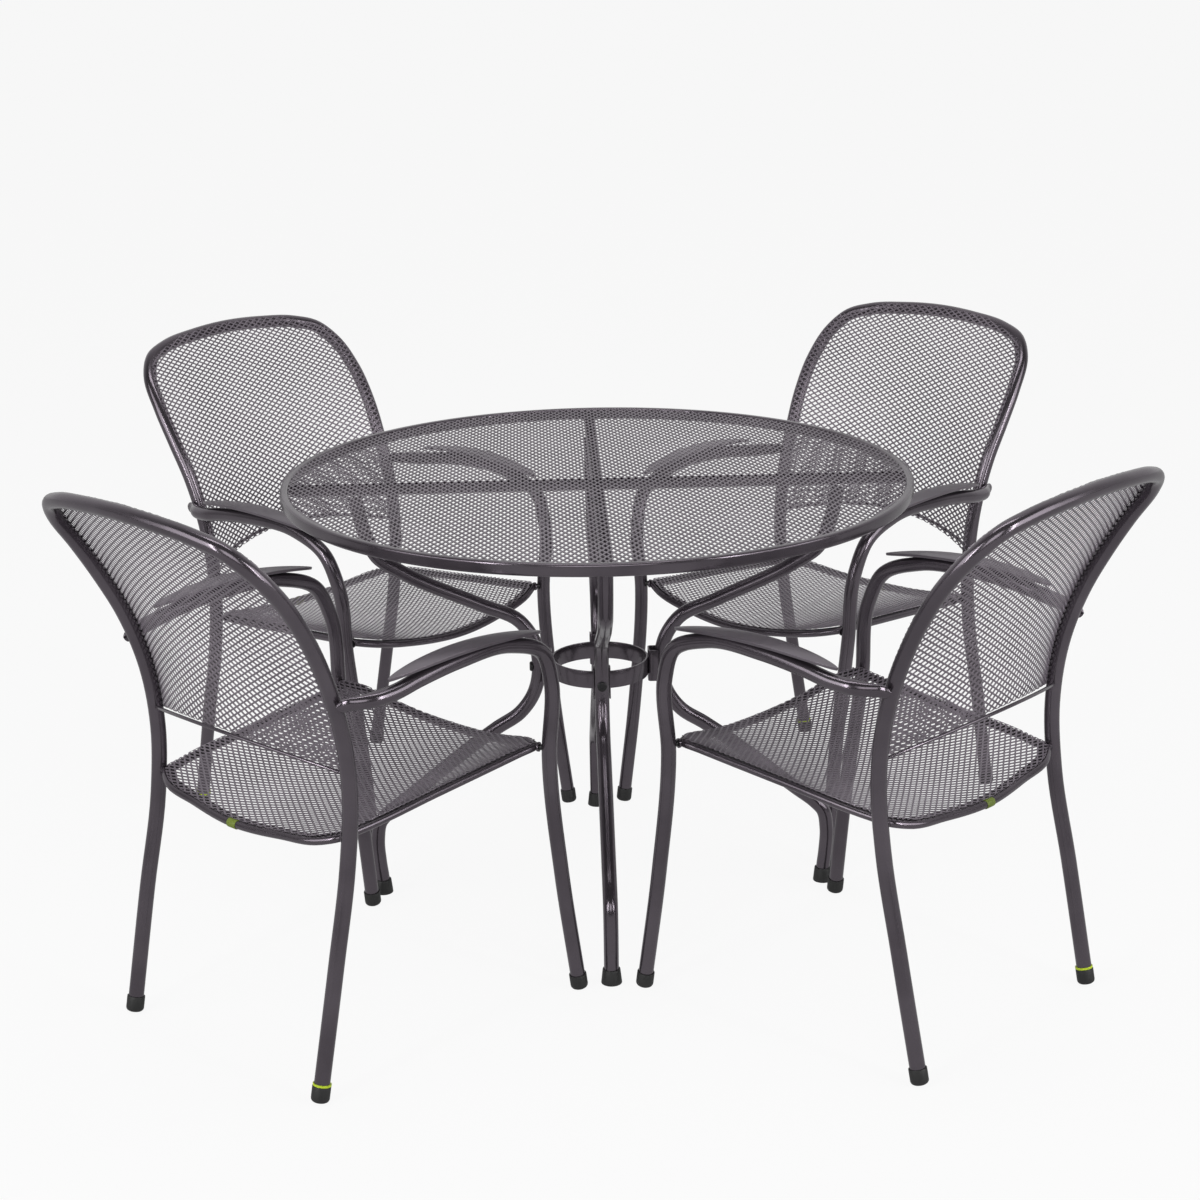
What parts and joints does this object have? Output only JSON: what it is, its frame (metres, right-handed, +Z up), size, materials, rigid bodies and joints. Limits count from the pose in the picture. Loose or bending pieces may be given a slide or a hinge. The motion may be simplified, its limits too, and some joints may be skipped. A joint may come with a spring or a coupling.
{
  "type": "patio dining set",
  "caption": "Round garden dining table with an expanded-metal top on bent tube legs tied by a centre ring, with matching mesh armchairs that pull straight out.",
  "frame": {"origin": "on the ground at the middle of the table, which is the middle of the set's base", "axes": "+Z up; one table leg on each of +X, +Y, -X and -Y; the chairs stand on the diagonals, facing the middle; -Y is the front"},
  "size_m": [1.6338, 1.6338, 0.8905],
  "materials": {
    "tube_coat": "satin powder coat, dark grey",
    "mesh_coat": "satin powder coat on expanded metal, dark grey",
    "pad_coat": "satin powder coat, dark grey",
    "cap_black": "matt black moulded cap"
  },
  "bodies": {
    "table": {"table_top_mesh": "mesh_coat", "table_rim": "tube_coat", "table_crossbars": "tube_coat", "table_centre_ring": "tube_coat", "table_leg_front": "tube_coat", "table_leg_right": "tube_coat", "table_leg_back": "tube_coat", "table_leg_left": "tube_coat", "table_foot_front": "cap_black", "table_foot_right": "cap_black", "table_foot_back": "cap_black", "table_foot_left": "cap_black"},
    "chair_front_left": {"chair_front_left_back_hoop": "tube_coat", "chair_front_left_back_mesh": "mesh_coat", "chair_front_left_seat_frame": "tube_coat", "chair_front_left_seat_mesh": "mesh_coat", "chair_front_left_arm_left": "tube_coat", "chair_front_left_arm_right": "tube_coat", "chair_front_left_arm_pad_left": "pad_coat", "chair_front_left_arm_pad_right": "pad_coat", "chair_front_left_foot_front_left": "cap_black", "chair_front_left_foot_front_right": "cap_black", "chair_front_left_foot_rear_left": "cap_black", "chair_front_left_foot_rear_right": "cap_black"},
    "chair_front_right": {"chair_front_right_back_hoop": "tube_coat", "chair_front_right_back_mesh": "mesh_coat", "chair_front_right_seat_frame": "tube_coat", "chair_front_right_seat_mesh": "mesh_coat", "chair_front_right_arm_left": "tube_coat", "chair_front_right_arm_right": "tube_coat", "chair_front_right_arm_pad_left": "pad_coat", "chair_front_right_arm_pad_right": "pad_coat", "chair_front_right_foot_front_left": "cap_black", "chair_front_right_foot_front_right": "cap_black", "chair_front_right_foot_rear_left": "cap_black", "chair_front_right_foot_rear_right": "cap_black"},
    "chair_back_right": {"chair_back_right_back_hoop": "tube_coat", "chair_back_right_back_mesh": "mesh_coat", "chair_back_right_seat_frame": "tube_coat", "chair_back_right_seat_mesh": "mesh_coat", "chair_back_right_arm_left": "tube_coat", "chair_back_right_arm_right": "tube_coat", "chair_back_right_arm_pad_left": "pad_coat", "chair_back_right_arm_pad_right": "pad_coat", "chair_back_right_foot_front_left": "cap_black", "chair_back_right_foot_front_right": "cap_black", "chair_back_right_foot_rear_left": "cap_black", "chair_back_right_foot_rear_right": "cap_black"},
    "chair_back_left": {"chair_back_left_back_hoop": "tube_coat", "chair_back_left_back_mesh": "mesh_coat", "chair_back_left_seat_frame": "tube_coat", "chair_back_left_seat_mesh": "mesh_coat", "chair_back_left_arm_left": "tube_coat", "chair_back_left_arm_right": "tube_coat", "chair_back_left_arm_pad_left": "pad_coat", "chair_back_left_arm_pad_right": "pad_coat", "chair_back_left_foot_front_left": "cap_black", "chair_back_left_foot_front_right": "cap_black", "chair_back_left_foot_rear_left": "cap_black", "chair_back_left_foot_rear_right": "cap_black"}
  },
  "joints": [
    {"name": "chair_front_left_pull_out", "type": "slide", "parent": "table", "child": "chair_front_left", "axis": [-0.7071, -0.7071, 0], "range_m": [0, 0.6]},
    {"name": "chair_front_right_pull_out", "type": "slide", "parent": "table", "child": "chair_front_right", "axis": [0.7071, -0.7071, 0], "range_m": [0, 0.6]},
    {"name": "chair_back_right_pull_out", "type": "slide", "parent": "table", "child": "chair_back_right", "axis": [0.7071, 0.7071, 0], "range_m": [0, 0.6]},
    {"name": "chair_back_left_pull_out", "type": "slide", "parent": "table", "child": "chair_back_left", "axis": [-0.7071, 0.7071, 0], "range_m": [0, 0.6]}
  ]
}
